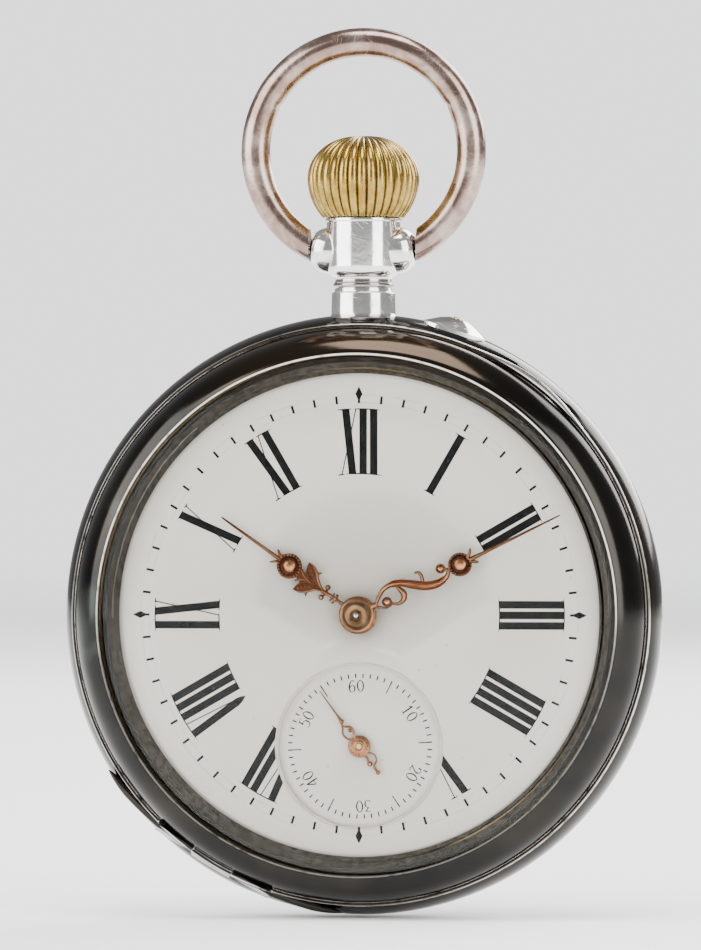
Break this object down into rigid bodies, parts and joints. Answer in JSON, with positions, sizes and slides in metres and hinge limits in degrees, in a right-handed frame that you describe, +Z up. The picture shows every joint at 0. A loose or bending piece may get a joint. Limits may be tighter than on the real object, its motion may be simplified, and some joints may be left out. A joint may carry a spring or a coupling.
{
  "type": "pocket watch",
  "caption": "Open face pocket watch with enamel dial, seconds dial, ornate hands, fluted crown, round bow and hinged lids.",
  "frame": {"origin": "centre of the back cover's flat disc, on the axis of the hands", "axes": "+Z up towards the pendant and bow, +Y out of the back cover, so the dial faces -Y; +X to the right of someone reading the dial"},
  "size_m": [0.05, 0.0137, 0.0741],
  "materials": {
    "case_silver": "polished silver gone dark with tarnish",
    "pendant_silver": "bright worn silver",
    "bow_silver": "worn silver with a rose tone",
    "brass": "worn brass",
    "gilt": "frosted gilt",
    "wheel_brass": "satin brass",
    "steel": "polished steel",
    "spring_steel": "blued steel",
    "copper": "copper-rose gilt",
    "enamel": "white fired enamel, glossy",
    "crystal": "clear glass",
    "ruby": "red stone"
  },
  "bodies": {
    "case": {"case_middle": "case_silver", "pendant": "pendant_silver", "hinge_pins": "steel", "bow_screws": "steel", "set_pin_guard": "pendant_silver", "set_pin_spring": "steel", "case_screws": "steel", "dial": "enamel", "seconds_dial": "enamel", "dial_feet": "copper", "dial_screws": "steel", "crown_wheel_core": "steel", "click_spring": "steel", "main_plate": "gilt", "barrel_bridge": "gilt", "train_bridge": "gilt", "balance_cock": "gilt", "pallet_cock": "gilt", "bridge_screws": "steel", "jewels": "ruby"},
    "bezel": {"bezel": "case_silver", "crystal": "crystal"},
    "back": {"back_cover": "case_silver"},
    "cuvette": {"cuvette": "brass"},
    "bow": {"bow": "bow_silver"},
    "crown": {"crown": "brass", "stem": "steel"},
    "set_pin": {"set_pin": "gilt"},
    "yoke": {"yoke": "steel"},
    "clutch": {"clutch_wheel": "steel"},
    "winding_pinion": {"winding_pinion": "steel"},
    "crown_wheel": {"crown_wheel": "steel"},
    "ratchet": {"ratchet_wheel": "steel", "ratchet_screw": "steel", "barrel_arbor": "steel"},
    "click": {"click": "steel"},
    "barrel": {"barrel": "wheel_brass", "barrel_lid": "wheel_brass", "mainspring": "spring_steel"},
    "centre": {"centre_wheel": "wheel_brass", "cannon_pinion": "steel", "minute_hand": "copper", "hand_cap": "brass"},
    "hour": {"hour_wheel": "wheel_brass", "hour_hand": "copper"},
    "minute_wheel": {"minute_wheel": "wheel_brass"},
    "setting_a": {"setting_wheel_a": "steel"},
    "setting_b": {"setting_wheel_b": "steel"},
    "third": {"third_wheel": "wheel_brass"},
    "fourth": {"fourth_wheel": "wheel_brass", "seconds_hand": "copper"},
    "escape": {"escape_wheel": "wheel_brass"},
    "pallet": {"pallet_fork": "steel"},
    "balance": {"balance_wheel": "wheel_brass", "balance_staff": "steel", "hairspring": "spring_steel"},
    "regulator": {"regulator": "steel"}
  },
  "joints": [
    {"name": "bow_swing", "type": "hinge", "parent": "case", "child": "bow", "pos_m": [0, -0.0069, 0.0303], "axis": [1, 0, 0], "range_deg": [-90, 90]},
    {"name": "back_hinge", "type": "hinge", "parent": "case", "child": "back", "pos_m": [-0.01231, -0.0042, -0.02049], "axis": [-0.8572, 0, 0.515], "range_deg": [0, 95]},
    {"name": "cuvette_hinge", "type": "hinge", "parent": "case", "child": "cuvette", "pos_m": [-0.01231, -0.0042, -0.02049], "axis": [-0.8572, 0, 0.515], "range_deg": [0, 80.75]},
    {"name": "bezel_hinge", "type": "hinge", "parent": "case", "child": "bezel", "pos_m": [-0.01231, -0.0096, -0.02049], "axis": [0.8572, 0, -0.515], "range_deg": [0, 95]},
    {"name": "winding", "type": "hinge", "parent": "case", "child": "crown", "pos_m": [0, -0.0069, 0.036], "axis": [0, 0, 1], "continuous": true},
    {"name": "winding_pinion_spin", "type": "hinge", "parent": "case", "child": "winding_pinion", "pos_m": [0, -0.0069, 0.017], "axis": [0, 0, 1], "continuous": true},
    {"name": "crown_wheel_spin", "type": "hinge", "parent": "case", "child": "crown_wheel", "pos_m": [0, -0.0069, 0.01355], "axis": [0, -1, 0], "continuous": true},
    {"name": "ratchet_spin", "type": "hinge", "parent": "case", "child": "ratchet", "pos_m": [-0.00758, -0.0069, 0.00636], "axis": [0, -1, 0], "continuous": true},
    {"name": "click_lift", "type": "hinge", "parent": "case", "child": "click", "pos_m": [-0.0154, -0.0044, 0.0109], "axis": [0, -1, 0], "range_deg": [0, 6], "stiffness_Nm_per_rad": 0.0001, "springref_deg": -5.73},
    {"name": "setting_push", "type": "slide", "parent": "case", "child": "set_pin", "axis": [-0.309, 0, -0.9511], "range_m": [0, 0.0005], "stiffness_N_per_m": 300, "springref_m": -0.0005, "deforming": ["set_pin_spring"]},
    {"name": "yoke_turn", "type": "hinge", "parent": "case", "child": "yoke", "pos_m": [0.01049, -0.0068, 0.01773], "axis": [0, -1, 0], "range_deg": [0, 6.38]},
    {"name": "clutch_shift", "type": "slide", "parent": "crown", "child": "clutch", "axis": [0, 0, -1], "range_m": [0, 0.00105]},
    {"name": "train", "type": "hinge", "parent": "case", "child": "fourth", "pos_m": [0, -0.0069, -0.0109], "axis": [0, -1, 0], "continuous": true},
    {"name": "third_spin", "type": "hinge", "parent": "case", "child": "third", "pos_m": [0.00438, -0.0069, -0.00627], "axis": [0, -1, 0], "continuous": true},
    {"name": "centre_spin", "type": "hinge", "parent": "case", "child": "centre", "pos_m": [0, -0.0069, 0], "axis": [0, -1, 0], "continuous": true},
    {"name": "hour_spin", "type": "hinge", "parent": "case", "child": "hour", "pos_m": [0, -0.0069, 0], "axis": [0, -1, 0], "continuous": true},
    {"name": "minute_wheel_spin", "type": "hinge", "parent": "case", "child": "minute_wheel", "pos_m": [0, -0.0069, 0.00375], "axis": [0, -1, 0], "continuous": true},
    {"name": "setting_a_spin", "type": "hinge", "parent": "case", "child": "setting_a", "pos_m": [0, -0.0069, 0.00844], "axis": [0, -1, 0], "continuous": true},
    {"name": "setting_b_spin", "type": "hinge", "parent": "case", "child": "setting_b", "pos_m": [0, -0.0069, 0.01203], "axis": [0, -1, 0], "continuous": true},
    {"name": "escape_spin", "type": "hinge", "parent": "case", "child": "escape", "pos_m": [-0.00453, -0.0069, -0.01401], "axis": [0, -1, 0], "continuous": true},
    {"name": "barrel_spin", "type": "hinge", "parent": "case", "child": "barrel", "pos_m": [-0.00758, -0.0069, 0.00636], "axis": [0, -1, 0], "continuous": true},
    {"name": "pallet_rock", "type": "hinge", "parent": "case", "child": "pallet", "pos_m": [-0.0072, -0.0069, -0.01207], "axis": [0, -1, 0], "range_deg": [-5, 5]},
    {"name": "balance_swing", "type": "hinge", "parent": "case", "child": "balance", "pos_m": [-0.0106, -0.0069, -0.0096], "axis": [0, -1, 0], "range_deg": [-270, 270], "stiffness_Nm_per_rad": 0.0000009},
    {"name": "regulator_turn", "type": "hinge", "parent": "case", "child": "regulator", "pos_m": [-0.0106, -0.0069, -0.0096], "axis": [0, -1, 0], "range_deg": [-15, 15]}
  ],
  "couplings": [
    {"joint": "cuvette_hinge", "follows": "back_hinge", "ratio": 0.85},
    {"joint": "winding_pinion_spin", "follows": "winding", "ratio": 1},
    {"joint": "crown_wheel_spin", "follows": "winding", "ratio": 0.5},
    {"joint": "ratchet_spin", "follows": "winding", "ratio": -0.30508},
    {"joint": "yoke_turn", "follows": "setting_push", "rad_per_m": 222.22},
    {"joint": "clutch_shift", "follows": "setting_push", "ratio": 2.0961},
    {"joint": "third_spin", "follows": "train", "ratio": -0.13333},
    {"joint": "centre_spin", "follows": "train", "ratio": 0.016667},
    {"joint": "hour_spin", "follows": "train", "ratio": 0.0013889},
    {"joint": "minute_wheel_spin", "follows": "train", "ratio": -0.0055556},
    {"joint": "setting_a_spin", "follows": "train", "ratio": 0.0083333},
    {"joint": "setting_b_spin", "follows": "train", "ratio": -0.0090909},
    {"joint": "escape_spin", "follows": "train", "ratio": -10},
    {"joint": "barrel_spin", "follows": "train", "ratio": -0.0020833}
  ]
}
